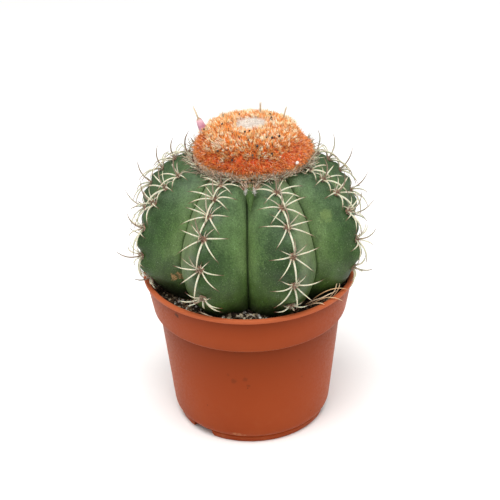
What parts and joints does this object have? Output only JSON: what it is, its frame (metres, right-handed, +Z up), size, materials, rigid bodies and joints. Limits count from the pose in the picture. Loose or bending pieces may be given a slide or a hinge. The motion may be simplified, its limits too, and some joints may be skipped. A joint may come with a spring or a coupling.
{
  "type": "potted round cactus",
  "caption": "Round ribbed cactus with curved spines and a bristly orange cap, growing in a tapered round plastic nursery pot.",
  "frame": {"origin": "on the pot's axis, in the plane that the pot stands on", "axes": "+Z up along the pot's axis, -Y towards the front of the picture, +X to its right"},
  "size_m": [0.1283, 0.1214, 0.1614],
  "materials": {
    "pot_plastic": "satin terracotta-orange moulded plastic",
    "soil": "dark crumbly peat with pale grit",
    "stem_skin": "matt dark green skin with pale dots and cream spines",
    "cap_bristle": "dense short orange bristles over cream wool",
    "white_wool": "soft white wool",
    "tan_wool": "tangled tan wool and old spines",
    "fruit_skin": "smooth pink-mauve fruit skin",
    "dry_flower": "papery tan-grey dried flower"
  },
  "bodies": {
    "root": {"pot": "pot_plastic", "soil": "soil", "stem": "stem_skin", "cap": "cap_bristle", "cap_crown": "white_wool", "cap_skirt": "tan_wool", "fruit": "fruit_skin", "dry_flower_back": "dry_flower", "dry_flower_right": "dry_flower", "dry_flower_left": "dry_flower"}
  },
  "joints": []
}
